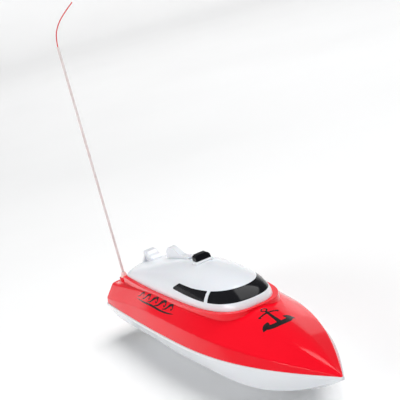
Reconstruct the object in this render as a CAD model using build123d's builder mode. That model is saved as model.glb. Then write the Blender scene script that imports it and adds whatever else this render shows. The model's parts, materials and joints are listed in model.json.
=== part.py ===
"""Radio-controlled twin-screw toy speedboat with a lift-off cabin.

Frame: origin in the middle of the flat keel pad, +X to the bow, +Y to port, +Z up, millimetres.
Lengths along the boat are given as stations, measured forward from the transom.
"""

import math
import os

from build123d import *

# ---- Driving dimensions ----------------------------------------------------
HULL_LENGTH = 340.0
BEAM = 95.0
TRANSOM_BEAM = 81.0
WIDEST_STATION = 150.0
ORIGIN_STATION = 150.0
BOW_STATION = 338.5
WALL = 1.8

PAD_HALF_WIDTH = 13.0
PAD_DEPTH = 1.5
SHEER_STERN = 35.0
SHEER_MIDDLE = 39.5
SHEER_BOW = 36.3
RAIL_HEIGHT = 2.2
RAIL_PROUD = 0.8
TRANSOM_TOP = 52.3

CABIN_AFT = 28.0
CABIN_NOSE = 233.0
CABIN_WIDEST = 140.0
CABIN_HALF_WIDTH = 29.7
CABIN_AFT_HALF_WIDTH = 24.5
CABIN_CREST_STATION = 160.0
CABIN_CREST_HEIGHT = 89.0
CABIN_AFT_HEIGHT = 68.0
CABIN_WALL = 1.6
SILL_AFT = 61.0
SILL_SLOPE = 0.03

WINDOW_RECESS = 0.25
WINDOW_THICKNESS = 0.9

SHAFT_SPREAD = 17.0
PROPELLER_STATION = 10.0
PROPELLER_HEIGHT = 12.5
SHAFT_ANGLE = 5.5
SHAFT_RADIUS = 1.0
RUNNING_CLEARANCE = 0.05
STERN_TUBE_RADIUS = 2.0
PROPELLER_RADIUS = 8.5
BLADE_COUNT = 3
MOTOR_DIAMETER = 20.0
MOTOR_FLAT = 15.0
MOTOR_LENGTH = 25.0
MOTOR_FRONT = 90.0

ANTENNA_STATION = 12.0
ANTENNA_OFFSET = -22.0
ANTENNA_TOP = 274.0
ANTENNA_RADIUS = 1.2
WIRE_RADIUS = 0.5

SWITCH_TRAVEL = 4.0

os.makedirs("parts", exist_ok=True)


def clamp(value):
    """Keep a ratio between 0 and 1."""
    return max(0.0, min(1.0, value))


def smooth(value):
    """Ease a ratio from 0 to 1 with flat ends."""
    ratio = clamp(value)
    return ratio * ratio * (3 - 2 * ratio)


def at(station):
    """X of a station."""
    return station - ORIGIN_STATION


def taper(station, start, power):
    """Fade from 1 at a starting station to 0 at the bow."""
    return 1 - clamp((station - start) / (HULL_LENGTH - start)) ** power


def save(part, name):
    """Label one finished piece and write its STEP file."""
    part.label = name
    export_step(part, f"parts/{name}.step")


# ---- Hull lines --------------------------------------------------------------
def half_beam(station):
    """Half width at the joint between lower hull and deck."""
    if station > WIDEST_STATION:
        forward = clamp((station - WIDEST_STATION) / (HULL_LENGTH - WIDEST_STATION))
        return BEAM / 2 * (1 - forward**2.69) ** 1.09
    aft = (WIDEST_STATION - station) / WIDEST_STATION
    return BEAM / 2 - (BEAM - TRANSOM_BEAM) / 2 * aft**2


def sheer(station):
    """Height of the joint between lower hull and deck: a shallow parabola."""
    t = station / HULL_LENGTH
    ends = SHEER_STERN * (1 - t) * (1 - 2 * t) + SHEER_BOW * t * (2 * t - 1)
    return ends + SHEER_MIDDLE * 4 * t * (1 - t)


def stern_lift(station):
    """Height of the raised afterbody over the propellers."""
    return 24.0 * (1 - smooth((station - 15) / 40))


def keel(station):
    """Height of the bottom on the centreline."""
    forefoot = SHEER_BOW * 0.99 * clamp((station - 225) / (HULL_LENGTH - 225)) ** 1.6
    return max(stern_lift(station), forefoot)


def chine(station):
    """Half width and height of the turn of the bilge."""
    width = max(half_beam(station) * 0.884 * taper(station, 215, 3), 0.25)
    level = 24.6 - 1.2 * smooth((station - 110) / 60) - 5.4 * smooth((station - 195) / 75)
    rise = 17.6 * clamp((station - 275) / 65) ** 1.85
    stern = 4.5 * (1 - smooth(station / 110))
    return width, level + rise - stern


def pad_half(station):
    """Half width of the flat planing pad, which closes to a sharp forefoot."""
    width = PAD_HALF_WIDTH * (1 - smooth((station - 190) / 70))
    return min(max(width, 0.8), chine(station)[0] * 0.45)


def knuckle(station):
    """Half width and height of the edge between topside band and deck."""
    inset = 0.8 + 3.35 * smooth(station / 70) - 0.85 * smooth((station - 150) / 100)
    band = 5.1 + 6.6 * smooth(station / 110)
    width = half_beam(station) - inset * taper(station, 220, 2)
    return width, sheer(station) + band * taper(station, 190, 2.05)


def shoulder(station):
    """Half width and height of the edge between side deck and crowned top deck."""
    width, height = knuckle(station)
    narrowing = 1 - 0.5 * smooth((station - 182) / 90)
    width = (width - 9.0 * taper(station, 180, 2.2)) * narrowing
    return width, height + 11.0 * taper(station, 200, 2.6)


def sill(station):
    """Height of the sloping plane that the cabin stands on."""
    return SILL_AFT + SILL_SLOPE * (station - CABIN_AFT)


def crest(station):
    """Height of the deck on the centreline."""
    aft = TRANSOM_TOP + (SILL_AFT - TRANSOM_TOP) * smooth(station / CABIN_AFT)
    fore = 67.0 - 30.0 * clamp((station - 215) / 125) ** 1.65
    return min(aft if station < CABIN_AFT else sill(station) - 0.5, fore)


def section_solid(stations, outline, corner_radii=()):
    """Smooth solid through symmetric cross-sections; outline gives the port half, bottom to top.

    An outline that ends on the centreline is crowned: its last span is one arc across the boat.
    Corner radii round the corners after the first one and shrink towards the bow.
    """
    with BuildPart() as form:
        for station in stations:
            port = outline(station)
            side = [(y, z) for y, z in port if y > 0]
            mirrored = [(-y, z) for y, z in reversed(side)]
            with BuildSketch(Plane.YZ.offset(at(station))) as section:
                with BuildLine():
                    if len(side) < len(port):
                        Polyline(*mirrored, *side)
                        ThreePointArc(side[-1], port[-1], mirrored[0])
                    else:
                        Polyline(*side, *mirrored, close=True)
                make_face()
                for (y, z), radius in zip(side[1:], corner_radii):
                    corners = [v for v in section.vertices() if abs(abs(v.X) - y) + abs(v.Y - z) < 0.001]
                    fillet(corners, radius=radius * min(1.0, half_beam(station) / 35))
        loft()
    return form.part


def bottom_outline(inset, top_rise):
    """Port half of the lower hull's section, drawn in by an inset and ending above the joint."""

    def outline(station):
        chine_y, chine_z = chine(station)
        edge = half_beam(station) - inset
        bottom = keel(station) + (inset if inset else -PAD_DEPTH)
        side = [
            (pad_half(station), bottom),
            (chine_y - inset * 0.9, chine_z + inset * 0.6),
            (edge, sheer(station) - 1.0),
        ]
        return side + [(edge, sheer(station) + top_rise)] if top_rise else side

    return outline


def rail_outline(station):
    """Port half of the slab whose edge is the rub rail."""
    edge = half_beam(station) + RAIL_PROUD
    return [(edge, sheer(station) - RAIL_HEIGHT), (edge, sheer(station))]


def deck_outline(inset, bottom_drop):
    """Port half of the deck's section, drawn in by an inset and starting below the joint."""

    def outline(station):
        knuckle_y, knuckle_z = knuckle(station)
        shoulder_y, shoulder_z = shoulder(station)
        edge = half_beam(station) - inset
        return [
            (edge, sheer(station) - bottom_drop),
            (knuckle_y - inset, knuckle_z - inset * 0.4),
            (shoulder_y - inset * 0.6, shoulder_z - inset),
            (0.0, crest(station) - inset),
        ]

    return outline


OUTER_STATIONS = [0, 10, 20, 30, 42, 55, 85, 120, 160, 195, 225, 250, 272, 292, 308, 321, 331, BOW_STATION]
INNER_STATIONS = [WALL, 10, 20, 30, 42, 55, 85, 120, 160, 195, 225, 250, 272, 292, 308, 320]
RAIL_STATIONS = [-RAIL_PROUD, 20, 60, 120, 160, 200, 240, 272, 300, 321, 333, BOW_STATION + RAIL_PROUD]


lower_cavity = section_solid(INNER_STATIONS, bottom_outline(WALL, 4.0))
deck_cavity = section_solid(INNER_STATIONS, deck_outline(WALL, 4.0))


# ---- Cabin lines -------------------------------------------------------------
def cabin_half(station):
    """Half width of the cabin where it stands on its sill."""
    if station > CABIN_WIDEST:
        forward = clamp((station - CABIN_WIDEST) / (CABIN_NOSE - CABIN_WIDEST))
        return CABIN_HALF_WIDTH * (1 - forward**3.4) ** 0.36
    aft = (CABIN_WIDEST - station) / (CABIN_WIDEST - CABIN_AFT)
    return CABIN_HALF_WIDTH - (CABIN_HALF_WIDTH - CABIN_AFT_HALF_WIDTH) * aft**2


def cabin_crest(station):
    """Height of the cabin roof on the centreline."""
    if station > CABIN_CREST_STATION:
        nose_height = sill(CABIN_NOSE)
        forward = clamp((station - CABIN_CREST_STATION) / (CABIN_NOSE - CABIN_CREST_STATION))
        return nose_height + (CABIN_CREST_HEIGHT - nose_height) * (1 - forward**2.4) ** 0.5
    aft = (CABIN_CREST_STATION - station) / (CABIN_CREST_STATION - CABIN_AFT)
    return CABIN_CREST_HEIGHT - (CABIN_CREST_HEIGHT - CABIN_AFT_HEIGHT) * aft**1.5


def cabin_form(inset):
    """Smooth cabin solid: half ellipses standing on the sloping sill plane."""
    stations = [CABIN_AFT + inset] + [44, 62, 80, 98, 116, 132]
    sweep = CABIN_NOSE - inset - CABIN_WIDEST
    for angle in (8, 18, 28, 38, 48, 57, 66, 74, 81, 87.3):
        stations.append(CABIN_WIDEST + sweep * math.sin(math.radians(angle)))
    with BuildPart() as form:
        for station in stations:
            width = cabin_half(station + (inset if station > CABIN_WIDEST else 0)) - inset
            height = cabin_crest(station + (inset if station > CABIN_CREST_STATION else 0)) - inset
            with BuildSketch(Plane.YZ.offset(at(station))):
                with BuildLine():
                    base = sill(station)
                    EllipticalCenterArc((0, base), max(width, 1.5), max(height - base, 0.5), arc_size=180)
                    Line((-max(width, 1.5), base), (max(width, 1.5), base))
                make_face()
        loft()
    return form.part


def cabin_plan(grow, first, last):
    """Closed plan outline of the cabin foot between two stations, grown sideways."""
    aft = [(at(s), cabin_half(s) + grow) for s in (first, 60, 100, CABIN_WIDEST)]
    sweep = last - CABIN_WIDEST
    fore = []
    for angle in (15, 30, 42, 53, 63, 72, 80):
        station = CABIN_WIDEST + sweep * math.sin(math.radians(angle))
        lines = CABIN_WIDEST + (CABIN_NOSE - CABIN_WIDEST) * math.sin(math.radians(angle))
        fore.append((at(station), max(cabin_half(lines) + grow, 1.0)))
    side = aft + fore
    tip = [(at(last), 0.0)]
    return side + tip + [(x, -y) for x, y in reversed(side)]


def plan_prism(grow, first, last, bottom, top):
    """Upright prism over the cabin's plan outline."""
    with BuildPart() as prism:
        with BuildSketch(Plane.XY.offset(bottom)):
            with BuildLine():
                outline = cabin_plan(grow, first, last)
                Spline(*outline)
                Line(outline[-1], outline[0])
            make_face()
        extrude(amount=top - bottom)
    return prism.part


def above_sill(lift):
    """Everything over the sloping sill plane."""
    with BuildPart() as block:
        with BuildSketch(Plane.XZ):
            with BuildLine():
                Polyline(
                    (at(-20), sill(-20) + lift),
                    (at(300), sill(300) + lift),
                    (at(300), 150),
                    (at(-20), 150),
                    close=True,
                )
            make_face()
        extrude(amount=80, both=True)
    return block.part


over_sill = above_sill(0.0)
cabin_outer = cabin_form(0.0)
cabin_glazed = cabin_form(WINDOW_RECESS)
cabin_behind_glass = cabin_form(WINDOW_RECESS + WINDOW_THICKNESS)
cabin_inner = cabin_form(CABIN_WALL)


def side_prism(outline, radius, near, far):
    """Prism across the boat from an outline of (station, height) corners with rounded corners."""
    with BuildPart() as prism:
        with BuildSketch(Plane.XZ.offset(near)) as face:
            with BuildLine():
                Polyline(*[(at(s), z) for s, z in outline], close=True)
            make_face()
            fillet(face.vertices(), radius=radius)
        extrude(amount=far - near)
    return prism.part


# ---- Lower hull: bottom shell, rub rail, skegs and posts -----------------------
def shaft_height(station):
    """Height of the propeller shaft centre at a station."""
    return PROPELLER_HEIGHT + math.tan(math.radians(SHAFT_ANGLE)) * (station - PROPELLER_STATION)


def shaft_plane(side, distance=0.0):
    """Plane square to a shaft, a distance forward of its propeller's middle."""
    along = (math.cos(math.radians(SHAFT_ANGLE)), 0, math.sin(math.radians(SHAFT_ANGLE)))
    middle = (at(PROPELLER_STATION), side * SHAFT_SPREAD, PROPELLER_HEIGHT)
    return Plane(origin=middle, x_dir=(0, 1, 0), z_dir=along).offset(distance)


TUBE_START = 6.0
TUBE_END = 68.0
SKEG_THICKNESS = 2.4
BOARD_POSTS = [(44.0, 9.0), (44.0, -9.0), (80.0, 9.0), (80.0, -9.0)]
BOARD_HEIGHT = 34.0
POST_RADIUS = 3.0
TRAY_HEIGHT = 19.0
TRAY_AFT = 140.0
TRAY_FORE = 206.0
TRAY_HALF_WIDTH = 31.2
TRAY_POSTS = [(144.0, 20.0), (144.0, -20.0), (202.0, 20.0), (202.0, -20.0)]
CRADLE_AFT = 103.0
CRADLE_FORE = 119.0
SCREW_RADIUS = 1.0

with BuildPart() as hull_space:
    add(lower_cavity)
    for station, offset in BOARD_POSTS:
        with BuildSketch():
            with Locations((at(station), offset)):
                Circle(POST_RADIUS)
        extrude(amount=BOARD_HEIGHT, mode=Mode.SUBTRACT)
    for station, offset in TRAY_POSTS:
        with BuildSketch():
            with Locations((at(station), offset)):
                Circle(POST_RADIUS)
        extrude(amount=TRAY_HEIGHT, mode=Mode.SUBTRACT)

with BuildPart() as lower_hull:
    add(section_solid(OUTER_STATIONS, bottom_outline(0.0, 0.0)))
    for side in (1, -1):
        with BuildSketch(Plane.XZ.offset(-side * SHAFT_SPREAD)):
            with BuildLine():
                Polyline(
                    (at(19), 26.5),
                    (at(21), 8.5),
                    (at(25), 5.0),
                    (at(47), 2.5),
                    (at(58), 5.0),
                    (at(58), 26.5),
                    close=True,
                )
            make_face()
        extrude(amount=SKEG_THICKNESS / 2, both=True)
    add(section_solid(RAIL_STATIONS, rail_outline))
    add(hull_space.part, mode=Mode.SUBTRACT)
    with BuildSketch(Plane.XY.offset(-20)):
        with Locations((at(170), 0)):
            Rectangle(460, 140)
    extrude(amount=20, mode=Mode.SUBTRACT)
    for side in (1, -1):
        with BuildSketch(shaft_plane(side, -20)):
            Circle(STERN_TUBE_RADIUS)
        extrude(amount=110, mode=Mode.SUBTRACT)
    for station, offset in BOARD_POSTS:
        with BuildSketch(Plane.XY.offset(BOARD_HEIGHT - 12)):
            with Locations((at(station), offset)):
                Circle(SCREW_RADIUS)
        extrude(amount=20, mode=Mode.SUBTRACT)
    for station, offset in TRAY_POSTS:
        with BuildSketch(Plane.XY.offset(TRAY_HEIGHT - 8)):
            with Locations((at(station), offset)):
                Circle(SCREW_RADIUS)
        extrude(amount=20, mode=Mode.SUBTRACT)
save(lower_hull.part, "lower_hull")

# ---- Deck: red top shell with the coaming round the cabin opening ---------------
KNUCKLE_RADIUS = 2.2
SHOULDER_RADIUS = 3.5
COAMING_GROW = 3.4
OPENING_SHRINK = 5.0
SKIRT_GAP = 0.4
SKIRT_DEPTH = 4.0
SEAL_DEPTH = 1.2

coaming_block = plan_prism(COAMING_GROW, CABIN_AFT - 3.0, CABIN_NOSE + 3.5, 44.0, 90.0)
opening_block = plan_prism(-OPENING_SHRINK, CABIN_AFT + 5.0, CABIN_NOSE - 6.0, 30.0, 90.0)
with BuildPart() as deck_shell:
    add(section_solid(OUTER_STATIONS, deck_outline(0.0, 0.0), (KNUCKLE_RADIUS, SHOULDER_RADIUS)))
    add(coaming_block)
    add(over_sill, mode=Mode.SUBTRACT)
    add(deck_cavity, mode=Mode.SUBTRACT)
    with BuildSketch(Plane.XY.offset(42)):
        with Locations((at(ANTENNA_STATION), ANTENNA_OFFSET)):
            Circle(4.5)
    extrude(amount=14.5)
    add(opening_block, mode=Mode.SUBTRACT)
    with BuildSketch(Plane.XY.offset(40)):
        with Locations((at(ANTENNA_STATION), ANTENNA_OFFSET)):
            Circle(2.6)
    extrude(amount=20, mode=Mode.SUBTRACT)

# ---- Cover seal: foam strip let into the coaming under the cabin rim ------------
SEAL_INSET = 2.2
SEAL_WIDTH = 1.8


def sill_band(low, high):
    """Sloping slab between two distances over the sill plane."""
    return above_sill(low) - above_sill(high)


seal_strip = plan_prism(-SEAL_INSET, CABIN_AFT + 2.2, CABIN_NOSE - 2.6, 50.0, 80.0)
seal_strip -= plan_prism(-SEAL_INSET - SEAL_WIDTH, CABIN_AFT + 4.0, CABIN_NOSE - 4.6, 50.0, 80.0)
with BuildPart() as cover_seal:
    add(seal_strip)
    add(sill_band(-SEAL_DEPTH, 0.0), mode=Mode.INTERSECT)
save(cover_seal.part, "cover_seal")
with BuildPart() as deck:
    add(deck_shell.part)
    add(cover_seal.part, mode=Mode.SUBTRACT)
save(deck.part, "deck")

# ---- Windows and cabin cover ------------------------------------------------------
WINDSCREEN = [(200.6, 71.6), (214.0, 72.0), (245.0, 73.6), (245.0, 83.0), (221.0, 80.6), (200.2, 79.3)]
SIDE_WINDOW = [(139.0, 72.6), (151.0, 78.1), (175.0, 78.3), (196.8, 79.2), (196.4, 71.6), (176.0, 71.8)]

WINDOW_PRISMS = {
    "windscreen": side_prism(WINDSCREEN, 0.4, -60.0, 60.0),
    "side_window_port": side_prism(SIDE_WINDOW, 0.8, -60.0, 0.0),
    "side_window_starboard": side_prism(SIDE_WINDOW, 0.8, 0.0, 60.0),
}

SKIRT_WALL = 1.6
SKIRT_RISE = 3.0
skirt = plan_prism(-OPENING_SHRINK - SKIRT_GAP, CABIN_AFT + 5.4, CABIN_NOSE - 6.4, 50.0, 90.0)
skirt_inside = -OPENING_SHRINK - SKIRT_GAP - SKIRT_WALL
skirt_bore = plan_prism(skirt_inside, CABIN_AFT + 7.0, CABIN_NOSE - 8.0, 50.0, 90.0)

with BuildPart() as skirt_ring:
    add(skirt)
    add(skirt_bore, mode=Mode.SUBTRACT)
    add(sill_band(-SKIRT_DEPTH, SKIRT_RISE), mode=Mode.INTERSECT)

with BuildPart() as rim_flange:
    add(cabin_outer)
    add(sill_band(0.0, CABIN_WALL), mode=Mode.INTERSECT)
    add(skirt_bore, mode=Mode.SUBTRACT)

VISOR_AFT = 147.6
VISOR_LENGTH = 7.5
VISOR_HALF_WIDTH = 6.7
VISOR_BASE = 90.2
VISOR_TOP = 95.1
VISOR_RAKE = 2.2
VISOR_CORNER = 3.2
VISOR_WALL = 1.2


def visor_form(inset):
    """Hood with rounded top corners and a raked front, drawn in by an inset."""
    half = VISOR_HALF_WIDTH - inset
    front = at(VISOR_AFT) + VISOR_LENGTH - inset
    with BuildPart() as hood:
        with BuildSketch(Plane.YZ.offset(at(VISOR_AFT) - inset)) as arch:
            with BuildLine():
                Polyline(
                    (-half, VISOR_BASE - inset),
                    (-half, VISOR_TOP - inset),
                    (half, VISOR_TOP - inset),
                    (half, VISOR_BASE - inset),
                    close=True,
                )
            make_face()
            fillet(arch.vertices().group_by(Axis.Y)[-1], radius=VISOR_CORNER - inset)
        extrude(amount=VISOR_LENGTH)
        with BuildSketch(Plane.XZ):
            with BuildLine():
                Polyline(
                    (front, VISOR_BASE - 2),
                    (front, VISOR_BASE),
                    (front - VISOR_RAKE, VISOR_TOP + 1),
                    (front + 10, VISOR_TOP + 1),
                    (front + 10, VISOR_BASE - 2),
                    close=True,
                )
            make_face()
        extrude(amount=20, both=True, mode=Mode.SUBTRACT)
    return hood.part


with BuildPart() as flybridge_visor:
    add(visor_form(0.0))
    add(visor_form(VISOR_WALL), mode=Mode.SUBTRACT)
save(flybridge_visor.part, "flybridge_visor")

# ---- Cabin cover ----------------------------------------------------------------------
GROOVE_STATION = 32.0
GROOVE_WIDTH = 0.9
GROOVE_DEPTH = 0.7

with BuildPart() as visor_foot:
    with BuildSketch(Plane.XY.offset(80)):
        with Locations((at(VISOR_AFT + 4.6), 0)):
            RectangleRounded(12.0, VISOR_HALF_WIDTH * 2 + 2.0, 3.0)
    extrude(amount=VISOR_BASE - 80)
    fillet(visor_foot.faces().sort_by(Axis.Z)[-1].edges(), radius=0.7)

with BuildPart() as aft_groove:
    with BuildSketch(Plane.YZ.offset(at(GROOVE_STATION))):
        with Locations((0, 80)):
            Rectangle(100, 60)
    extrude(amount=GROOVE_WIDTH)
    add(cabin_outer, mode=Mode.INTERSECT)
    add(cabin_form(GROOVE_DEPTH), mode=Mode.SUBTRACT)
    add(sill_band(0.0, CABIN_WALL), mode=Mode.SUBTRACT)

with BuildPart() as cabin_shell:
    add(cabin_outer)
    add(visor_foot.part)
    add(cabin_inner, mode=Mode.SUBTRACT)
    add(rim_flange.part)
    add(skirt_ring.part)
    add(aft_groove.part, mode=Mode.SUBTRACT)

with BuildPart() as cabin_cover:
    add(cabin_shell.part)
    for prism in WINDOW_PRISMS.values():
        add((cabin_outer - cabin_behind_glass) & prism, mode=Mode.SUBTRACT)
save(cabin_cover.part, "cabin_cover")

for name, prism in WINDOW_PRISMS.items():
    with BuildPart() as window:
        add(cabin_glazed)
        add(cabin_behind_glass, mode=Mode.SUBTRACT)
        add(prism, mode=Mode.INTERSECT)
    save(window.part, name)

# ---- Roof furniture: stepped stern mast and swept radar fin ------------------------
MAST_HALF_WIDTH = 5.0
LEG_SPREAD = 10.0

with BuildPart() as stern_mast:
    with BuildSketch(Plane.XZ) as mast_side:
        with BuildLine():
            Polyline(
                (at(30.0), 66.0),
                (at(31.8), 73.0),
                (at(31.0), 76.0),
                (at(33.0), 79.2),
                (at(41.0), 79.2),
                (at(43.5), 76.8),
                (at(47.5), 75.8),
                (at(50.0), 73.8),
                (at(57.0), 72.8),
                (at(61.0), 69.0),
                (at(48.0), 66.0),
                close=True,
            )
        make_face()
        fillet(mast_side.vertices(), radius=0.9)
    extrude(amount=MAST_HALF_WIDTH, both=True)
    add(cabin_outer, mode=Mode.SUBTRACT)
    fillet(stern_mast.faces().filter_by(Axis.Y).edges().filter_by_position(Axis.Z, 74.0, 90), radius=0.8)
    for side in (1, -1):
        with BuildSketch(Plane.YZ.offset(at(32.5))):
            with BuildLine():
                Polyline(
                    (side * 3.5, 75.0),
                    (side * MAST_HALF_WIDTH, 76.0),
                    (side * LEG_SPREAD, 66.0),
                    (side * (LEG_SPREAD - 2.2), 64.0),
                    close=True,
                )
            make_face()
        extrude(amount=3.0)
    add(cabin_outer, mode=Mode.SUBTRACT)
save(stern_mast.part, "stern_mast")

FIN_HALF_THICKNESS = 2.3
with BuildPart() as radar_fin:
    with BuildSketch(Plane.XZ):
        with BuildLine():
            Polyline((at(126), 82.0), (at(84), 74.0), (at(80.5), 78.0))
            Spline(
                (at(80.5), 78.0),
                (at(81.5), 84.5),
                (at(88), 90.2),
                (at(97), 91.6),
                (at(106), 89.2),
                (at(116), 87.6),
            )
            Polyline((at(116), 87.6), (at(130), 88.2), (at(126), 82.0))
        make_face()
    extrude(amount=FIN_HALF_THICKNESS, both=True)
    add(cabin_outer, mode=Mode.SUBTRACT)
save(radar_fin.part, "radar_fin")

# ---- Aerial: boot, tube, wire in the tube and the loose wire end -------------------
BOOT_BOTTOM = 50.0
TUBE_BOTTOM = 53.0
aerial = (at(ANTENNA_STATION), ANTENNA_OFFSET)


def aerial_rod(bottom, top, radius, bore=0.0):
    """Upright round piece on the aerial's axis."""
    with BuildPart() as rod:
        with BuildSketch(Plane.XY.offset(bottom)):
            with Locations(aerial):
                Circle(radius)
                if bore:
                    Circle(bore, mode=Mode.SUBTRACT)
        extrude(amount=top - bottom)
    return rod.part


with BuildPart() as antenna_boot:
    add(aerial_rod(BOOT_BOTTOM, 56.5, 2.6))
    with BuildSketch(Plane.XY.offset(56.5)):
        with Locations(aerial):
            Circle(3.2)
    with BuildSketch(Plane.XY.offset(61.0)):
        with Locations(aerial):
            Circle(1.9)
    loft()
    with BuildSketch(Plane.XY.offset(TUBE_BOTTOM)):
        with Locations(aerial):
            Circle(ANTENNA_RADIUS)
    extrude(amount=20, mode=Mode.SUBTRACT)
    with BuildSketch(Plane.XY.offset(BOOT_BOTTOM)):
        with Locations(aerial):
            Circle(WIRE_RADIUS)
    extrude(amount=5, mode=Mode.SUBTRACT)
save(antenna_boot.part, "antenna_boot")
save(aerial_rod(TUBE_BOTTOM, ANTENNA_TOP, ANTENNA_RADIUS, WIRE_RADIUS), "antenna_tube")
save(aerial_rod(BOOT_BOTTOM, ANTENNA_TOP, WIRE_RADIUS), "antenna_wire")

x, y = aerial
WIRE_ROUTE = [
    (x, y, ANTENNA_TOP),
    (x + 0.3, y + 0.8, ANTENNA_TOP + 9),
    (x + 2.0, y + 4.4, ANTENNA_TOP + 17.5),
    (x + 5.4, y + 11.2, ANTENNA_TOP + 26),
    (x + 10.2, y + 20.4, ANTENNA_TOP + 34),
]


def bend_radii(route):
    """Largest arc at each corner of a cord's route."""
    radii = []
    for before, here, after in zip(route, route[1:], route[2:]):
        first = Vector(*here) - Vector(*before)
        second = Vector(*after) - Vector(*here)
        turn = math.radians(first.get_angle(second))
        radii.append(0.45 * min(first.length, second.length) / math.tan(turn / 2))
    return radii


wire_radii = bend_radii(WIRE_ROUTE)
print("aerial wire bend radii:", [round(radius, 1) for radius in wire_radii])
with BuildPart() as antenna_wire_end:
    with BuildLine() as wire_path:
        FilletPolyline(*WIRE_ROUTE, radius=wire_radii)
    with BuildSketch(Plane(origin=WIRE_ROUTE[0], z_dir=wire_path.line % 0)):
        Circle(WIRE_RADIUS)
    sweep()
print("aerial wire end length:", round(sum(edge.length for edge in wire_path.edges()), 1))
save(antenna_wire_end.part, "antenna_wire_end")

# ---- Drive: two motors, couplings, shafts, stern tubes and propellers ---------------
SIDES = {"port": 1, "starboard": -1}
BUSH_LENGTH = 5.0
BUSH_RADIUS = 1.6
COUPLING_RADIUS = 3.0
COUPLING_START = 76.0
COUPLING_END = 87.5
SHAFT_END = 81.5
MOTOR_SHAFT_START = 82.0
MOTOR_SHAFT_END = MOTOR_FRONT + MOTOR_LENGTH
BOSS_LENGTH = 1.6
ENDCAP_LENGTH = 3.0
HUB_RADIUS = 2.6
HUB_LENGTH = 8.0
BLADE_THICKNESS = 1.0
BLADE_STATIONS = (
    (HUB_RADIUS - 1.0, 3.6, 38.0),
    (PROPELLER_RADIUS * 0.66, 7.0, 44.0),
    (PROPELLER_RADIUS, 3.2, 52.0),
)


def shaft_ring(side, start, end, radius, bore=0.0):
    """Round piece on a shaft's axis between two distances forward of the propeller."""
    with BuildPart() as ring:
        with BuildSketch(shaft_plane(side, start)):
            Circle(radius)
            if bore:
                Circle(bore, mode=Mode.SUBTRACT)
        extrude(amount=end - start)
    return ring.part


def make_propeller(side):
    """Hub with a rounded tail and three pitched blades."""
    axis = shaft_plane(side)
    with BuildPart() as propeller:
        with BuildSketch(shaft_plane(side, -HUB_LENGTH / 2)):
            Circle(HUB_RADIUS)
        extrude(amount=HUB_LENGTH)
        fillet(propeller.edges().filter_by(GeomType.CIRCLE).sort_by(Axis.X)[0], radius=1.6)
        for index in range(BLADE_COUNT):
            angle = 2 * math.pi / BLADE_COUNT * index
            radial = axis.x_dir * math.cos(angle) + axis.y_dir * math.sin(angle)
            tangent = axis.z_dir.cross(radial)
            for reach, chord, pitch in BLADE_STATIONS:
                twist = math.radians(side * pitch)
                chord_line = axis.z_dir * math.cos(twist) + tangent * math.sin(twist)
                here = axis.origin + radial * reach
                with BuildSketch(Plane(origin=here, x_dir=chord_line, z_dir=radial)):
                    RectangleRounded(chord, BLADE_THICKNESS, 0.45)
            loft()
        with BuildSketch(shaft_plane(side, -2.0)):
            Circle(SHAFT_RADIUS)
        extrude(amount=HUB_LENGTH, mode=Mode.SUBTRACT)
    return propeller.part


def make_motor_can(side):
    """Drawn can with two flats, closed at the shaft end by its bearing boss."""
    with BuildPart() as can:
        with BuildSketch(shaft_plane(side, MOTOR_FRONT)):
            Circle(MOTOR_DIAMETER / 2)
            Rectangle(MOTOR_DIAMETER, MOTOR_FLAT, mode=Mode.INTERSECT)
        extrude(amount=MOTOR_LENGTH)
        with BuildSketch(shaft_plane(side, MOTOR_FRONT - BOSS_LENGTH)):
            Circle(3.0)
        extrude(amount=BOSS_LENGTH)
        with BuildSketch(shaft_plane(side, MOTOR_FRONT - 5)):
            Circle(SHAFT_RADIUS + RUNNING_CLEARANCE)
        extrude(amount=MOTOR_LENGTH + 10, mode=Mode.SUBTRACT)
    return can.part


def make_endcap(side):
    """Moulded rear cap of a motor with its two solder tags."""
    with BuildPart() as cap:
        with BuildSketch(shaft_plane(side, MOTOR_SHAFT_END)):
            Circle(MOTOR_DIAMETER / 2 - 0.8)
            Rectangle(MOTOR_DIAMETER, MOTOR_FLAT - 1.4, mode=Mode.INTERSECT)
        extrude(amount=ENDCAP_LENGTH)
        with BuildSketch(shaft_plane(side, MOTOR_SHAFT_END + ENDCAP_LENGTH)):
            with Locations((6, 0), (-6, 0)):
                Rectangle(0.6, 2.4)
        extrude(amount=3.5)
    return cap.part


for name, side in SIDES.items():
    inner_radius = SHAFT_RADIUS + RUNNING_CLEARANCE
    save(make_propeller(side), f"propeller_{name}")
    save(shaft_ring(side, -2.0, SHAFT_END, SHAFT_RADIUS), f"drive_shaft_{name}")
    save(shaft_ring(side, TUBE_START, TUBE_END, STERN_TUBE_RADIUS, BUSH_RADIUS), f"stern_tube_{name}")
    aft_bush = shaft_ring(side, TUBE_START, TUBE_START + BUSH_LENGTH, BUSH_RADIUS, inner_radius)
    save(aft_bush, f"aft_bush_{name}")
    save(shaft_ring(side, TUBE_END - BUSH_LENGTH, TUBE_END, BUSH_RADIUS, inner_radius), f"fore_bush_{name}")
    save(shaft_ring(side, COUPLING_START, COUPLING_END, COUPLING_RADIUS, SHAFT_RADIUS), f"coupling_{name}")
    save(shaft_ring(side, MOTOR_SHAFT_START, MOTOR_SHAFT_END, SHAFT_RADIUS), f"motor_shaft_{name}")
    save(make_motor_can(side), f"motor_can_{name}")
    save(make_endcap(side), f"motor_endcap_{name}")

# ---- Motor cradle, clamp and screws ---------------------------------------------------
CRADLE_TOP = shaft_height((CRADLE_AFT + CRADLE_FORE) / 2)
CLAMP_TOP = CRADLE_TOP + MOTOR_FLAT / 2 + 3.4
CRADLE_HALF_WIDTH = 33.0
SCREW_BITE = 4.0
CLAMP_SCREWS = [(111.0, 30.5), (111.0, -30.5), (111.0, 0.0)]


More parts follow.
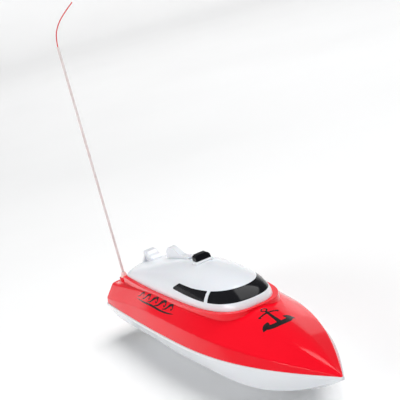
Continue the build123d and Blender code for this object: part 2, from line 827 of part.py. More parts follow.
def cross_block(bottom, top):
    """Upright block across the boat under and over the motors."""
    with BuildPart() as block:
        with BuildSketch(Plane.XY.offset(bottom)):
            with Locations((at((CRADLE_AFT + CRADLE_FORE) / 2), 0)):
                RectangleRounded(CRADLE_FORE - CRADLE_AFT, CRADLE_HALF_WIDTH * 2, 2.0)
        extrude(amount=top - bottom)
    return block.part


def motor_pocket(side):
    """Space that a motor can fills."""
    with BuildPart() as pocket:
        with BuildSketch(shaft_plane(side, MOTOR_FRONT)):
            Circle(MOTOR_DIAMETER / 2)
            Rectangle(MOTOR_DIAMETER, MOTOR_FLAT, mode=Mode.INTERSECT)
        extrude(amount=MOTOR_LENGTH)
    return pocket.part


def screw_group(places, seat, depth, head_radius=1.9, head_height=1.2):
    """Pan-head screws at (station, offset) places, heads standing on a seat height."""
    with BuildPart() as screws:
        for station, offset in places:
            with BuildSketch(Plane.XY.offset(seat - depth)):
                with Locations((at(station), offset)):
                    Circle(SCREW_RADIUS)
            extrude(amount=depth)
            with BuildSketch(Plane.XY.offset(seat)):
                with Locations((at(station), offset)):
                    Circle(head_radius)
            extrude(amount=head_height)
            with BuildSketch(Plane.XY.offset(seat + head_height - 0.5)):
                with Locations((at(station), offset)):
                    Rectangle(head_radius * 1.3, 0.5)
                    Rectangle(0.5, head_radius * 1.3)
            extrude(amount=1, mode=Mode.SUBTRACT)
    return screws.part


def screw_holes(places, bottom, top):
    """Round cutters at (station, offset) places."""
    with BuildPart() as holes:
        for station, offset in places:
            with BuildSketch(Plane.XY.offset(bottom)):
                with Locations((at(station), offset)):
                    Circle(SCREW_RADIUS)
            extrude(amount=top - bottom)
    return holes.part


with BuildPart() as motor_cradle:
    add(cross_block(-2.0, CRADLE_TOP))
    add(lower_cavity, mode=Mode.INTERSECT)
    for side in SIDES.values():
        add(motor_pocket(side), mode=Mode.SUBTRACT)
    add(screw_holes(CLAMP_SCREWS, CRADLE_TOP - SCREW_BITE, CRADLE_TOP + 5), mode=Mode.SUBTRACT)
save(motor_cradle.part, "motor_cradle")

with BuildPart() as motor_clamp:
    add(cross_block(CRADLE_TOP, CLAMP_TOP))
    fillet(motor_clamp.faces().sort_by(Axis.Z)[-1].edges(), radius=1.2)
    for side in SIDES.values():
        add(motor_pocket(side), mode=Mode.SUBTRACT)
    add(screw_holes(CLAMP_SCREWS, CRADLE_TOP - 5, CLAMP_TOP + 5), mode=Mode.SUBTRACT)
save(motor_clamp.part, "motor_clamp")
save(screw_group(CLAMP_SCREWS, CLAMP_TOP, CLAMP_TOP - CRADLE_TOP + SCREW_BITE), "clamp_screws")

# ---- Battery tray, cells and strap ------------------------------------------------------
CELL_RADIUS = 7.0
CELL_LENGTH = 50.0
TRAY_FLOOR = 2.0
TRAY_RIM = 6.0
TRAY_WALL = 1.6
CELL_AFT = 148.0
CELL_MIDDLE = CELL_AFT + CELL_LENGTH / 2
CELLS_BOTTOM = TRAY_HEIGHT + TRAY_FLOOR
STRAP_WIDTH = 12.0
STRAP_THICKNESS = 1.2

with BuildPart() as battery_tray:
    tray_middle = at((TRAY_AFT + TRAY_FORE) / 2)
    tray_length = TRAY_FORE - TRAY_AFT
    with BuildSketch(Plane.XY.offset(TRAY_HEIGHT)):
        with Locations((tray_middle, 0)):
            RectangleRounded(tray_length, TRAY_HALF_WIDTH * 2, 3.0)
    extrude(amount=TRAY_FLOOR + TRAY_RIM)
    with BuildSketch(Plane.XY.offset(TRAY_HEIGHT + TRAY_FLOOR)):
        with Locations((tray_middle, 0)):
            RectangleRounded(tray_length - 2 * TRAY_WALL, (TRAY_HALF_WIDTH - TRAY_WALL) * 2, 1.6)
    extrude(amount=TRAY_RIM + 1, mode=Mode.SUBTRACT)
    add(screw_holes(TRAY_POSTS, TRAY_HEIGHT - 1, TRAY_HEIGHT + 5), mode=Mode.SUBTRACT)
save(battery_tray.part, "battery_tray")

with BuildPart() as battery_cells:
    for index in range(4):
        offset = (index - 1.5) * 2 * CELL_RADIUS
        start = at(CELL_AFT)
        with BuildSketch(Plane.YZ.offset(start)):
            with Locations((offset, CELLS_BOTTOM + CELL_RADIUS)):
                Circle(CELL_RADIUS)
        extrude(amount=CELL_LENGTH - 1.5)
        with BuildSketch(Plane.YZ.offset(start + CELL_LENGTH - 1.5)):
            with Locations((offset, CELLS_BOTTOM + CELL_RADIUS)):
                Circle(2.8)
        extrude(amount=1.5)
save(battery_cells.part, "battery_cells")

with BuildPart() as battery_strap:
    strap_top = CELLS_BOTTOM + 2 * CELL_RADIUS + STRAP_THICKNESS
    strap_half = 4 * CELL_RADIUS + STRAP_THICKNESS
    with BuildSketch(Plane.YZ.offset(at(CELL_MIDDLE) - STRAP_WIDTH / 2)):
        with Locations((0, (CELLS_BOTTOM + strap_top) / 2)):
            Rectangle(strap_half * 2, strap_top - CELLS_BOTTOM)
        with Locations((0, CELLS_BOTTOM + CELL_RADIUS)):
            Rectangle(8 * CELL_RADIUS, 2 * CELL_RADIUS, mode=Mode.SUBTRACT)
    extrude(amount=STRAP_WIDTH)
    fillet(battery_strap.edges().filter_by(Axis.X).group_by(Axis.Z)[-1], radius=1.0)
save(battery_strap.part, "battery_strap")
save(screw_group(TRAY_POSTS, TRAY_HEIGHT + TRAY_FLOOR, 8.0), "tray_screws")

# ---- Receiver board with its parts ------------------------------------------------------
BOARD_AFT = 38.0
BOARD_FORE = 88.0
BOARD_HALF_WIDTH = 19.0
BOARD_THICKNESS = 1.2
BOARD_TOP = BOARD_HEIGHT + BOARD_THICKNESS

with BuildPart() as receiver_board:
    with BuildSketch(Plane.XY.offset(BOARD_HEIGHT)):
        with Locations((at((BOARD_AFT + BOARD_FORE) / 2), 0)):
            RectangleRounded(BOARD_FORE - BOARD_AFT, BOARD_HALF_WIDTH * 2, 1.5)
    extrude(amount=BOARD_THICKNESS)
    add(screw_holes(BOARD_POSTS, BOARD_HEIGHT - 1, BOARD_TOP + 1), mode=Mode.SUBTRACT)
save(receiver_board.part, "receiver_board")
save(screw_group(BOARD_POSTS, BOARD_TOP, 10.0), "board_screws")


def board_block(boxes):
    """Group of rectangular parts on the board: station, offset, length, width, height."""
    with BuildPart() as group:
        for station, offset, length, width, height in boxes:
            with BuildSketch(Plane.XY.offset(BOARD_TOP)):
                with Locations((at(station), offset)):
                    RectangleRounded(length, width, 0.3)
            extrude(amount=height)
    return group.part


save(board_block([(62, 0, 19, 6.2, 3.2)]), "decoder_chip")
driver_boxes = [(station, offset, 6.4, 3.4, 7.0) for station in (52, 70) for offset in (14, -14)]
save(board_block(driver_boxes), "motor_drivers")
save(board_block([(46, -1.5, 5, 3.6, 5.5)]), "tuning_coil")

with BuildPart() as crystal:
    with BuildSketch(Plane.XY.offset(BOARD_TOP)):
        with Locations((at(52.5), 5.5)):
            SlotOverall(8.0, 3.2)
    extrude(amount=9.0)
    fillet(crystal.faces().sort_by(Axis.Z)[-1].edges(), radius=0.5)
save(crystal.part, "crystal")

with BuildPart() as smoothing_capacitor:
    with BuildSketch(Plane.XY.offset(BOARD_TOP)):
        with Locations((at(78), 0)):
            Circle(3.0)
    extrude(amount=9.0)
    fillet(smoothing_capacitor.faces().sort_by(Axis.Z)[-1].edges(), radius=0.5)
save(smoothing_capacitor.part, "smoothing_capacitor")

# ---- Power switch on its bracket -----------------------------------------------------------
SWITCH_STATION = 135.5
SWITCH_OFFSET = 0.0
BRACKET_TOP = 40.0
BRACKET_THICKNESS = 1.6
SWITCH_LENGTH = 16.0
SWITCH_WIDTH = 7.0
SWITCH_DEPTH = 6.0
KNOB_LENGTH = 4.0
KNOB_WIDTH = 3.0
SLOT_CLEARANCE = 0.3

with BuildPart() as switch_bracket:
    with BuildSketch(Plane.XY.offset(-2.0)):
        with Locations((at(SWITCH_STATION), 17), (at(SWITCH_STATION), -17)):
            Rectangle(6, 3)
    extrude(amount=BRACKET_TOP + 2.0)
    add(lower_cavity, mode=Mode.INTERSECT)
    with BuildSketch(Plane.XY.offset(BRACKET_TOP - BRACKET_THICKNESS)):
        with Locations((at(SWITCH_STATION), 0)):
            RectangleRounded(12, 40, 1.5)
    extrude(amount=BRACKET_THICKNESS)
    with BuildSketch(Plane.XY.offset(BRACKET_TOP - 3)):
        with Locations((at(SWITCH_STATION), SWITCH_OFFSET)):
            Rectangle(KNOB_WIDTH + 2 * SLOT_CLEARANCE, KNOB_LENGTH + SWITCH_TRAVEL + 2 * SLOT_CLEARANCE)
    extrude(amount=6, mode=Mode.SUBTRACT)
save(switch_bracket.part, "switch_bracket")

SWITCH_TOP = BRACKET_TOP - BRACKET_THICKNESS
SLIDER_FLOOR = SWITCH_TOP - 3.0
with BuildPart() as switch_body:
    with BuildSketch(Plane.XY.offset(SWITCH_TOP - SWITCH_DEPTH)):
        with Locations((at(SWITCH_STATION), SWITCH_OFFSET)):
            Rectangle(SWITCH_WIDTH, SWITCH_LENGTH)
    extrude(amount=SWITCH_DEPTH)
    with BuildSketch(Plane.XY.offset(SLIDER_FLOOR)):
        with Locations((at(SWITCH_STATION), SWITCH_OFFSET)):
            Rectangle(KNOB_WIDTH + 1.0 + 2 * SLOT_CLEARANCE, KNOB_LENGTH + SWITCH_TRAVEL + 2 * SLOT_CLEARANCE)
    extrude(amount=10, mode=Mode.SUBTRACT)
save(switch_body.part, "switch_body")

with BuildPart() as switch_slider:
    with BuildSketch(Plane.XY.offset(SLIDER_FLOOR)):
        with Locations((at(SWITCH_STATION), SWITCH_OFFSET - SWITCH_TRAVEL / 2)):
            Rectangle(KNOB_WIDTH + 1.0, KNOB_LENGTH)
    extrude(amount=2.4)
    with BuildSketch(Plane.XY.offset(SLIDER_FLOOR + 2.4)):
        with Locations((at(SWITCH_STATION), SWITCH_OFFSET - SWITCH_TRAVEL / 2)):
            Rectangle(KNOB_WIDTH, KNOB_LENGTH)
    extrude(amount=5.0)
    fillet(switch_slider.faces().sort_by(Axis.Z)[-1].edges(), radius=0.5)
save(switch_slider.part, "switch_slider")
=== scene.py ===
"""Looks of the radio-controlled toy speedboat: materials, decals, aerial wire, floor, light and camera."""

import json
import math

import bmesh
import bpy
from mathutils import Matrix, Vector
from mathutils.bvhtree import BVHTree


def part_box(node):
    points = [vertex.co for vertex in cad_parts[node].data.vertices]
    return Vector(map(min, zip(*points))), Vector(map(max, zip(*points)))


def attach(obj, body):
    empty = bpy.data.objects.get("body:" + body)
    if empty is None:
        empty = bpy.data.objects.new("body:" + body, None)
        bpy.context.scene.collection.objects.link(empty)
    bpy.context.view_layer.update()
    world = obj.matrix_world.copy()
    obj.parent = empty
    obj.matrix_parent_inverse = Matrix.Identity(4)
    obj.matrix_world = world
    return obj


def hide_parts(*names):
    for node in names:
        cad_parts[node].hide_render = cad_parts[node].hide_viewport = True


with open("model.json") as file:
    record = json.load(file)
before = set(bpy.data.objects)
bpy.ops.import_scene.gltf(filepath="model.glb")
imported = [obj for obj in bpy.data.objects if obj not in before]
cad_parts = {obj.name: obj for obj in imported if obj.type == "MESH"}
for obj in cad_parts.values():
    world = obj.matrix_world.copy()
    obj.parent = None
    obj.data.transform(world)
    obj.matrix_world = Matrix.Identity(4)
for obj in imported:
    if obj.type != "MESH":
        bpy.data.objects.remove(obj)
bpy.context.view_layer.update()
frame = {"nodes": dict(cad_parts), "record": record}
MM = 0.001


# ---- Materials -------------------------------------------------------------------
def new_material(name):
    """Empty node material with its Principled shader."""
    material = bpy.data.materials.new(name)
    material.use_nodes = True
    shader = material.node_tree.nodes["Principled BSDF"]
    return material, material.node_tree, shader


def noise(tree, scale, detail=3.0, roughness=0.5):
    """Noise in object space."""
    place = tree.nodes.new("ShaderNodeTexCoord")
    texture = tree.nodes.new("ShaderNodeTexNoise")
    texture.inputs["Scale"].default_value = scale
    texture.inputs["Detail"].default_value = detail
    texture.inputs["Roughness"].default_value = roughness
    tree.links.new(place.outputs["Object"], texture.inputs["Vector"])
    return texture


def ramp(tree, source, low, high, start=0.35, stop=0.65):
    """Blend two colours or greys by a texture value."""
    node = tree.nodes.new("ShaderNodeValToRGB")
    node.color_ramp.elements[0].position = start
    node.color_ramp.elements[1].position = stop
    node.color_ramp.elements[0].color = (*low, 1)
    node.color_ramp.elements[1].color = (*high, 1)
    tree.links.new(source, node.inputs["Fac"])
    return node.outputs["Color"]


def bump(tree, shader, source, strength, distance):
    """Drive the shader's normal with a bump."""
    node = tree.nodes.new("ShaderNodeBump")
    node.inputs["Strength"].default_value = strength
    node.inputs["Distance"].default_value = distance
    tree.links.new(source, node.inputs["Height"])
    tree.links.new(node.outputs["Normal"], shader.inputs["Normal"])


def moulded(
    name,
    colour,
    shade,
    low_gloss,
    high_gloss,
    grain=900.0,
    bump_mm=0.004,
    coat=0.0,
    subsurface=0.0,
    mirror=0.5,
):
    """Moulded plastic: faint colour drift, uneven gloss and a fine mould texture."""
    material, tree, shader = new_material(name)
    drift = noise(tree, 14.0, 4.0)
    tree.links.new(ramp(tree, drift.outputs["Fac"], colour, shade), shader.inputs["Base Color"])
    gloss = noise(tree, 55.0, 5.0)
    rough = ramp(tree, gloss.outputs["Fac"], (low_gloss,) * 3, (high_gloss,) * 3)
    tree.links.new(rough, shader.inputs["Roughness"])
    fine = noise(tree, grain, 2.0)
    bump(tree, shader, fine.outputs["Fac"], 0.5, bump_mm * MM)
    shader.inputs["Specular IOR Level"].default_value = mirror
    shader.inputs["Coat Weight"].default_value = coat
    shader.inputs["Coat Roughness"].default_value = 0.04
    shader.inputs["Subsurface Weight"].default_value = subsurface
    shader.inputs["Subsurface Scale"].default_value = 2 * MM
    return material


def metal(name, colour, shade, rough_low, rough_high, grain=400.0, stretch=(1, 1, 1)):
    """Metal with drawn or ground streaks."""
    material, tree, shader = new_material(name)
    place = tree.nodes.new("ShaderNodeTexCoord")
    mapping = tree.nodes.new("ShaderNodeMapping")
    mapping.inputs["Scale"].default_value = stretch
    texture = tree.nodes.new("ShaderNodeTexNoise")
    texture.inputs["Scale"].default_value = grain
    texture.inputs["Detail"].default_value = 4.0
    tree.links.new(place.outputs["Object"], mapping.inputs["Vector"])
    tree.links.new(mapping.outputs["Vector"], texture.inputs["Vector"])
    tree.links.new(ramp(tree, texture.outputs["Fac"], colour, shade), shader.inputs["Base Color"])
    rough = ramp(tree, texture.outputs["Fac"], (rough_low,) * 3, (rough_high,) * 3)
    tree.links.new(rough, shader.inputs["Roughness"])
    bump(tree, shader, texture.outputs["Fac"], 0.3, 0.01 * MM)
    shader.inputs["Metallic"].default_value = 1.0
    return material


def woven(name, colour, shade):
    """Woven strap: crossed ribs with a soft sheen."""
    material, tree, shader = new_material(name)
    place = tree.nodes.new("ShaderNodeTexCoord")
    ribs = []
    for direction in ("X", "Y"):
        wave = tree.nodes.new("ShaderNodeTexWave")
        wave.bands_direction = direction
        wave.inputs["Scale"].default_value = 700.0
        tree.links.new(place.outputs["Object"], wave.inputs["Vector"])
        ribs.append(wave.outputs["Fac"])
    mix = tree.nodes.new("ShaderNodeMath")
    mix.operation = "MULTIPLY"
    tree.links.new(ribs[0], mix.inputs[0])
    tree.links.new(ribs[1], mix.inputs[1])
    tree.links.new(ramp(tree, mix.outputs[0], colour, shade, 0.1, 0.6), shader.inputs["Base Color"])
    bump(tree, shader, mix.outputs[0], 0.6, 0.15 * MM)
    shader.inputs["Roughness"].default_value = 0.85
    shader.inputs["Sheen Weight"].default_value = 0.3
    return material


def milky(name):
    """Translucent soft tube that shows the wire inside it."""
    material, tree, shader = new_material(name)
    cloud = noise(tree, 60.0, 3.0)
    tint = ramp(tree, cloud.outputs["Fac"], (0.96, 0.88, 0.87), (0.98, 0.94, 0.93))
    tree.links.new(tint, shader.inputs["Base Color"])
    bump(tree, shader, cloud.outputs["Fac"], 0.2, 0.02 * MM)
    shader.inputs["Roughness"].default_value = 0.28
    shader.inputs["IOR"].default_value = 1.35
    shader.inputs["Alpha"].default_value = 0.62
    return material


RED = moulded("deck_red", (0.90, 0.004, 0.018), (0.84, 0.003, 0.015), 0.07, 0.13, coat=0.12, mirror=0.2)
WHITE = moulded(
    "cabin_white", (0.80, 0.82, 0.86), (0.77, 0.79, 0.83), 0.16, 0.24, coat=0.25, subsurface=0.08
)
HULL = moulded("hull_white", (0.72, 0.74, 0.77), (0.69, 0.71, 0.74), 0.18, 0.27, coat=0.2, subsurface=0.08)
GLASS = moulded(
    "window_black", (0.006, 0.006, 0.008), (0.011, 0.011, 0.013), 0.10, 0.16, bump_mm=0.002, mirror=0.15
)
BLACK = moulded("bracket_black", (0.03, 0.03, 0.033), (0.05, 0.05, 0.053), 0.42, 0.55, 1400.0, 0.03)
MATERIALS = {
    "hull_white": HULL,
    "deck_red": RED,
    "cabin_white": WHITE,
    "window_black": GLASS,
    "seal_foam": moulded("seal_foam", (0.02, 0.02, 0.02), (0.045, 0.045, 0.045), 0.85, 0.95, 2500.0, 0.2),
    "aerial_boot": moulded(
        "aerial_boot", (0.86, 0.58, 0.55), (0.90, 0.68, 0.65), 0.35, 0.45, 700.0, 0.02, 0, 0.3
    ),
    "aerial_tube": milky("aerial_tube"),
    "aerial_wire": moulded(
        "aerial_wire", (0.62, 0.012, 0.018), (0.70, 0.02, 0.025), 0.3, 0.4, 1500.0, 0.01
    ),
    "propeller_plastic": moulded(
        "propeller_nylon", (0.70, 0.70, 0.68), (0.76, 0.76, 0.74), 0.38, 0.5, 900.0, 0.03, 0, 0.2
    ),
    "shaft_steel": metal(
        "shaft_steel", (0.55, 0.55, 0.57), (0.68, 0.68, 0.70), 0.18, 0.32, 500.0, (0.1, 1, 1)
    ),
    "tube_brass": metal(
        "tube_brass", (0.66, 0.44, 0.16), (0.78, 0.56, 0.24), 0.22, 0.36, 500.0, (0.1, 1, 1)
    ),
    "bush_brass": metal("bush_bronze", (0.50, 0.28, 0.10), (0.62, 0.38, 0.15), 0.35, 0.5, 900.0),
    "coupling_rubber": moulded(
        "coupling_rubber", (0.018, 0.018, 0.018), (0.03, 0.03, 0.03), 0.6, 0.75, 1200.0, 0.05
    ),
    "motor_can": metal(
        "motor_can", (0.52, 0.53, 0.55), (0.66, 0.67, 0.69), 0.25, 0.38, 350.0, (0.15, 1, 1)
    ),
    "endcap_plastic": moulded(
        "endcap_nylon", (0.72, 0.71, 0.64), (0.78, 0.77, 0.70), 0.4, 0.5, 900.0, 0.03
    ),
    "bracket_plastic": BLACK,
    "screw_steel": metal("screw_zinc", (0.50, 0.50, 0.52), (0.62, 0.62, 0.64), 0.25, 0.4, 900.0),
    "cell_wrap": moulded("cell_wrap", (0.02, 0.22, 0.08), (0.03, 0.27, 0.11), 0.2, 0.32, 500.0, 0.03, 0.3),
    "strap_web": woven("strap_web", (0.015, 0.015, 0.015), (0.06, 0.06, 0.06)),
    "board_laminate": moulded(
        "board_laminate", (0.28, 0.15, 0.05), (0.38, 0.22, 0.08), 0.4, 0.6, 1200.0, 0.03
    ),
    "chip_plastic": moulded(
        "chip_epoxy", (0.012, 0.012, 0.012), (0.025, 0.025, 0.025), 0.5, 0.65, 1600.0, 0.03
    ),
    "crystal_can": metal("crystal_can", (0.70, 0.70, 0.70), (0.80, 0.80, 0.80), 0.12, 0.22, 600.0),
    "capacitor_sleeve": moulded(
        "capacitor_sleeve", (0.01, 0.015, 0.10), (0.015, 0.02, 0.14), 0.25, 0.35, 800.0, 0.01
    ),
    "coil_plastic": moulded("coil_former", (0.60, 0.20, 0.02), (0.70, 0.26, 0.03), 0.4, 0.5, 900.0, 0.03),
    "switch_metal": metal("switch_frame", (0.50, 0.50, 0.52), (0.62, 0.62, 0.64), 0.3, 0.45, 500.0),
    "slider_plastic": moulded(
        "slider_black", (0.012, 0.012, 0.012), (0.02, 0.02, 0.02), 0.4, 0.5, 1400.0, 0.03
    ),
}

slot_of = {entry["node"]: entry["material_slot"] for entry in frame["record"]["subparts"]}
for node, piece in frame["nodes"].items():
    piece.data.materials.clear()
    piece.data.materials.append(MATERIALS[slot_of[node]])

# ---- Decals laid on the deck ------------------------------------------------------------
DECAL_LIFT = 0.04 * MM
LAYER_LIFT = 0.006 * MM
RIBBON_COLUMNS = 4
FINEST_STROKE = 0.12
PROJECTION_HEIGHT = 30 * MM


def surface_tree(node):
    """Ray-casting tree of a CAD node at rest."""
    mesh = frame["nodes"][node].data
    corners = [vertex.co.copy() for vertex in mesh.vertices]
    return BVHTree.FromPolygons(corners, [tuple(polygon.vertices) for polygon in mesh.polygons])


def smooth_line(points, samples):
    """Points spread along a Catmull-Rom curve; each point is (u, v, width)."""
    padded = [points[0], *points, points[-1]]
    line = []
    for index in range(len(points) - 1):
        a, b, c, d = (Vector(p) for p in padded[index : index + 4])
        for step in range(samples):
            t = step / samples
            bend = (2 * a - 5 * b + 4 * c - d) * t**2 + (3 * b - a - 3 * c + d) * t**3
            line.append(0.5 * (2 * b + (c - a) * t + bend))
    line.append(Vector(points[-1]))
    return line


def ribbon(points, samples=12):
    """Flat tapered stroke in decal space: rows of (u, v) across the stroke."""
    line = smooth_line(points, samples)
    rows = []
    for index, here in enumerate(line):
        before = line[max(index - 1, 0)]
        after = line[min(index + 1, len(line) - 1)]
        across = Vector((before.y - after.y, after.x - before.x)).normalized()
        half = max(here.z, FINEST_STROKE) / 2
        steps = [(column / (RIBBON_COLUMNS - 1) * 2 - 1) * half for column in range(RIBBON_COLUMNS)]
        rows.append([(here.x + across.x * step, here.y + across.y * step) for step in steps])
    return rows


def lay_decal(name, strokes, tree, origin, u_axis, v_axis, toward, material, body):
    """Project strokes, drawn in millimetres on a plane, onto a surface as one thin skin."""
    origin, u_axis, v_axis, toward = (Vector(v) for v in (origin, u_axis, v_axis, toward))
    build = bmesh.new()
    for layer, rows in enumerate(strokes):
        grid = []
        for row in rows:
            line = []
            for u, v in row:
                start = origin + u_axis * (u * MM) + v_axis * (v * MM) - toward * PROJECTION_HEIGHT
                hit, normal, _, _ = tree.ray_cast(start, toward)
                outward = -normal if normal.dot(toward) > 0 else normal
                line.append(build.verts.new(hit + outward * (DECAL_LIFT + layer * LAYER_LIFT)))
            grid.append(line)
        for first, second in zip(grid, grid[1:]):
            for column in range(len(first) - 1):
                build.faces.new((first[column], first[column + 1], second[column + 1], second[column]))
    for face in build.faces:
        face.normal_update()
        face.smooth = True
        if face.normal.dot(toward) > 0:
            face.normal_flip()
    mesh = bpy.data.meshes.new(name)
    build.to_mesh(mesh)
    build.free()
    mesh.materials.append(material)
    piece = bpy.data.objects.new(name, mesh)
    bpy.context.scene.collection.objects.link(piece)
    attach(piece, body)


def arc_points(centre, radius, first, last, width, count):
    """Stroke points on a circular arc, angles in degrees."""
    angles = [math.radians(first + (last - first) * i / (count - 1)) for i in range(count)]
    return [(centre[0] + radius * math.cos(a), centre[1] + radius * math.sin(a), width) for a in angles]


def anchor_strokes():
    """Plain stocked anchor: ring, stock, shank, heavy arms and two flukes, crown towards -v."""
    strokes = [ribbon(arc_points((0, 13.4), 2.2, 0, 360, 1.2, 13), 4)]
    strokes.append(ribbon([(0, 11.2, 2.0), (0, 4, 2.4), (0, -5, 3.2), (0, -10.5, 5.0)]))
    stock = [(-8.6, 6.9, 1.2), (-7.8, 7.2, 2.8), (-6.4, 7.6, 1.7), (0, 8.4, 2.0)]
    strokes.append(ribbon(stock + [(-u, v, width) for u, v, width in reversed(stock[:-1])], 8))
    arms = [(-11.6, -3.0, 1.0), (-9.6, -6.6, 4.0), (-5.6, -9.4, 5.2), (0, -10.4, 5.6)]
    strokes.append(ribbon(arms + [(-u, v, width) for u, v, width in reversed(arms[:-1])]))
    for side in (-1, 1):
        fluke = [(14.0, -6.4, 0.3), (11.8, -5.6, 4.4), (8.6, -3.6, 5.0), (6.6, -1.9, 0.4)]
        strokes.append(ribbon([(side * u, v, width) for u, v, width in fluke], 8))
    return strokes


WAVES = ((-38.0, 1.05), (-25.0, 1.25), (-10.5, 1.4), (5.0, 1.5), (21.0, 1.35))


def flourish_strokes():
    """Row of breaking waves with curled crests over one long swell."""
    rise = [(-2, -2.2, 0.3), (2.6, -1.0, 1.1), (6.2, 1.7, 1.9), (9.4, 2.7, 1.6)]
    curl = rise + [(11.2, 1.2, 1.2), (10.1, -0.3, 0.9), (8.7, 0.4, 0.4)]
    strokes = []
    for start, size in WAVES:
        strokes.append(ribbon([(start + u * size, v * size, width * size) for u, v, width in curl], 8))
    swell = [(-40, -4.0, 0.3), (-22, -4.6, 1.2), (-4, -4.2, 1.7)]
    swell += [(16, -4.7, 1.5), (32, -3.9, 1.1), (41, -2.6, 0.3)]
    strokes.append(ribbon(swell, 10))
    return strokes


ink, ink_tree, ink_shader = new_material("decal_ink")
ink_noise = noise(ink_tree, 300.0, 4.0)
ink_colour = ramp(ink_tree, ink_noise.outputs["Fac"], (0.010, 0.008, 0.008), (0.018, 0.014, 0.014))
ink_tree.links.new(ink_colour, ink_shader.inputs["Base Color"])
ink_gloss = ramp(ink_tree, ink_noise.outputs["Fac"], (0.14, 0.14, 0.14), (0.22, 0.22, 0.22))
ink_tree.links.new(ink_gloss, ink_shader.inputs["Roughness"])
bump(ink_tree, ink_shader, ink_noise.outputs["Fac"], 0.3, 0.01 * MM)

ANCHOR_PLACE = (0.106, 0, 0.09)
FLOURISH_PLACE = (-0.036, 0.0363, 0.0588)
PANEL_SLOPE = Vector((0, 0.634, 0.774))
deck_tree = surface_tree("deck")
lay_decal(
    "foredeck_anchor",
    anchor_strokes(),
    deck_tree,
    ANCHOR_PLACE,
    (0, 1, 0),
    (-1, 0, 0),
    (0, 0, -1),
    ink,
    "hull",
)
for side_name, side in (("port", 1), ("starboard", -1)):
    x, y, z = FLOURISH_PLACE
    slope = (0, -side * PANEL_SLOPE.y, PANEL_SLOPE.z)
    inward = (0, -side * PANEL_SLOPE.z, -PANEL_SLOPE.y)
    lay_decal(
        f"shoulder_flourish_{side_name}",
        flourish_strokes(),
        deck_tree,
        (x, side * y, z),
        (1, 0, 0),
        slope,
        inward,
        ink,
        "hull",
    )

# ---- Aerial wire: the loose end over the tube ---------------------------------------
tube_low, tube_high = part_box("antenna_tube")
WIRE_DIAMETER = 1.0 * MM
aerial_x = (tube_low.x + tube_high.x) / 2
aerial_y = (tube_low.y + tube_high.y) / 2
WIRE_STEPS = [(0, 0, 0), (0.3, 0.8, 9), (2.0, 4.4, 17.5), (5.4, 11.2, 26), (10.2, 20.4, 34)]
route = [(aerial_x + x * MM, aerial_y + y * MM, tube_high.z + z * MM) for x, y, z in WIRE_STEPS]


def cord_curve(name, points, diameter, material):
    """Smooth round cord through control points."""
    curve = bpy.data.curves.new(name, "CURVE")
    curve.dimensions = "3D"
    curve.bevel_depth = diameter / 2
    curve.bevel_resolution = 6
    curve.use_fill_caps = True
    spline = curve.splines.new("NURBS")
    spline.points.add(len(points) - 1)
    for point, place in zip(spline.points, points):
        point.co = (*place, 1)
    spline.order_u = 3
    spline.use_endpoint_u = True
    spline.resolution_u = 16
    curve.materials.append(material)
    piece = bpy.data.objects.new(name, curve)
    bpy.context.scene.collection.objects.link(piece)
    return piece


wire_end = cord_curve("aerial_wire_end", route, WIRE_DIAMETER, MATERIALS["aerial_wire"])
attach(wire_end, "hull")
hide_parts("antenna_wire_end")

# ---- Floor with a round upturned edge -----------------------------------------------------
FLOOR_INNER_RING = 0.6
FLOOR_REACH = 3.0
COVE_RADIUS = 0.5
COVE_HEIGHT = 0.6
COVE_SECTORS = 72
COVE_STEPS = 16


def cove_profile():
    """Radius and height along the round backdrop: flat floor, quarter round, upright wall."""
    line = [(FLOOR_INNER_RING, 0.0), (FLOOR_REACH, 0.0)]
    for step in range(1, COVE_STEPS + 1):
        angle = math.pi / 2 * step / COVE_STEPS
        line.append((FLOOR_REACH + COVE_RADIUS * math.sin(angle), COVE_RADIUS * (1 - math.cos(angle))))
    return line + [(FLOOR_REACH + COVE_RADIUS, COVE_HEIGHT)]


floor_points = [Vector((0, 0, 0))]
for reach, height in cove_profile():
    for sector in range(COVE_SECTORS):
        angle = math.tau * sector / COVE_SECTORS
        floor_points.append(Vector((reach * math.cos(angle), reach * math.sin(angle), height)))
floor_faces = [(0, 1 + i, 1 + (i + 1) % COVE_SECTORS) for i in range(COVE_SECTORS)]
for ring in range(len(cove_profile()) - 1):
    inner = 1 + ring * COVE_SECTORS
    outer = inner + COVE_SECTORS
    for i in range(COVE_SECTORS):
        k = (i + 1) % COVE_SECTORS
        floor_faces.append((inner + i, outer + i, outer + k, inner + k))
floor_mesh = bpy.data.meshes.new("floor")
floor_mesh.from_pydata(floor_points, [], floor_faces)
for polygon in floor_mesh.polygons:
    polygon.use_smooth = True
floor = bpy.data.objects.new("floor", floor_mesh)
bpy.context.scene.collection.objects.link(floor)
pale, pale_tree, pale_shader = new_material("floor_pale")
pale_noise = noise(pale_tree, 3.0)
pale_colour = ramp(pale_tree, pale_noise.outputs["Fac"], (0.93, 0.93, 0.93), (0.95, 0.95, 0.95))
pale_tree.links.new(pale_colour, pale_shader.inputs["Base Color"])
pale_shader.inputs["Roughness"].default_value = 0.9
floor_mesh.materials.append(pale)

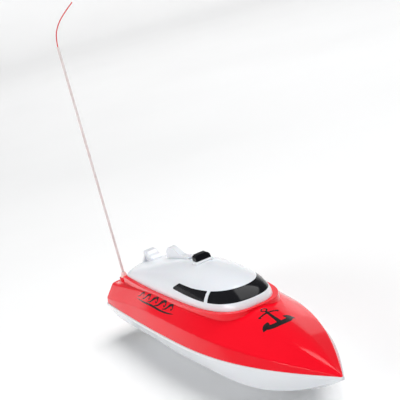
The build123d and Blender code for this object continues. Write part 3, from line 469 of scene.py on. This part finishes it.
# ---- Light: a sky that is paler near the horizon, and four softboxes ------------------------
SKY_HORIZON = 0.05
SKY_UPPER = 0.25
SKY_PALE = 0.4
SKY_DIM = 0.17
world = bpy.data.worlds.new("studio")
bpy.context.scene.world = world
world.use_nodes = True
sky = world.node_tree.nodes["Background"]
sky.inputs["Color"].default_value = (0.97, 0.985, 1.0, 1)
sky_direction = world.node_tree.nodes.new("ShaderNodeTexCoord")
sky_height = world.node_tree.nodes.new("ShaderNodeSeparateXYZ")
sky_level = world.node_tree.nodes.new("ShaderNodeMapRange")
world.node_tree.links.new(sky_direction.outputs["Generated"], sky_height.inputs["Vector"])
world.node_tree.links.new(sky_height.outputs["Z"], sky_level.inputs["Value"])
world.node_tree.links.new(sky_level.outputs["Result"], sky.inputs["Strength"])
sky_level.inputs["From Min"].default_value = SKY_HORIZON
sky_level.inputs["From Max"].default_value = SKY_UPPER
sky_level.inputs["To Min"].default_value = SKY_PALE
sky_level.inputs["To Max"].default_value = SKY_DIM


def softbox(name, place, target, size, power):
    """Rectangular area light aimed at a point."""
    light = bpy.data.lights.new(name, "AREA")
    light.shape = "RECTANGLE"
    light.size, light.size_y = size
    light.energy = power
    piece = bpy.data.objects.new(name, light)
    piece.location = place
    piece.rotation_euler = (Vector(target) - Vector(place)).to_track_quat("-Z", "Y").to_euler()
    bpy.context.scene.collection.objects.link(piece)


softbox("overhead", (0.3, 0.95, 3.0), (0.03, 0, 0.03), (2.8, 2.8), 104)
softbox("starboard", (0.25, -1.9, 0.75), (0.03, 0, 0.05), (1.3, 0.8), 18)
softbox("far", (-1.2, 0.95, 0.5), (0.05, 0, 0.05), (0.8, 0.4), 0.4)
softbox("backdrop", (-1.8, 0.75, 1.6), (-3.6, 1.5, 0.3), (2.0, 1.2), 14)

# ---- Camera at the photograph's viewing angle --------------------------------------------------
CAMERA_AZIMUTH = 67.11
CAMERA_ELEVATION = 14.16
CAMERA_ROLL = -15.047
CAMERA_DISTANCE = 0.9
CAMERA_SENSOR = 36.0
CAMERA_LENS = 104.1
LOOK_AT = Vector((0.02908, 0.0, 0.144486))
azimuth, elevation, roll = (math.radians(a) for a in (CAMERA_AZIMUTH, CAMERA_ELEVATION, CAMERA_ROLL))
level = Vector((math.cos(azimuth), math.sin(azimuth), 0))
forward = Vector((-math.sin(azimuth), math.cos(azimuth), 0))
ahead = forward * math.cos(elevation) - Vector((0, 0, math.sin(elevation)))
upward = level.cross(ahead)
right = level * math.cos(roll) + upward * math.sin(roll)
up = upward * math.cos(roll) - level * math.sin(roll)
camera_data = bpy.data.cameras.new("camera")
camera_data.sensor_width = CAMERA_SENSOR
camera_data.lens = CAMERA_LENS
camera = bpy.data.objects.new("camera", camera_data)
place = LOOK_AT - ahead * CAMERA_DISTANCE
camera.matrix_world = Matrix.Translation(place) @ Matrix((right, up, -ahead)).transposed().to_4x4()
bpy.context.scene.collection.objects.link(camera)
bpy.context.scene.camera = camera
bpy.context.scene.view_settings.view_transform = "Standard"
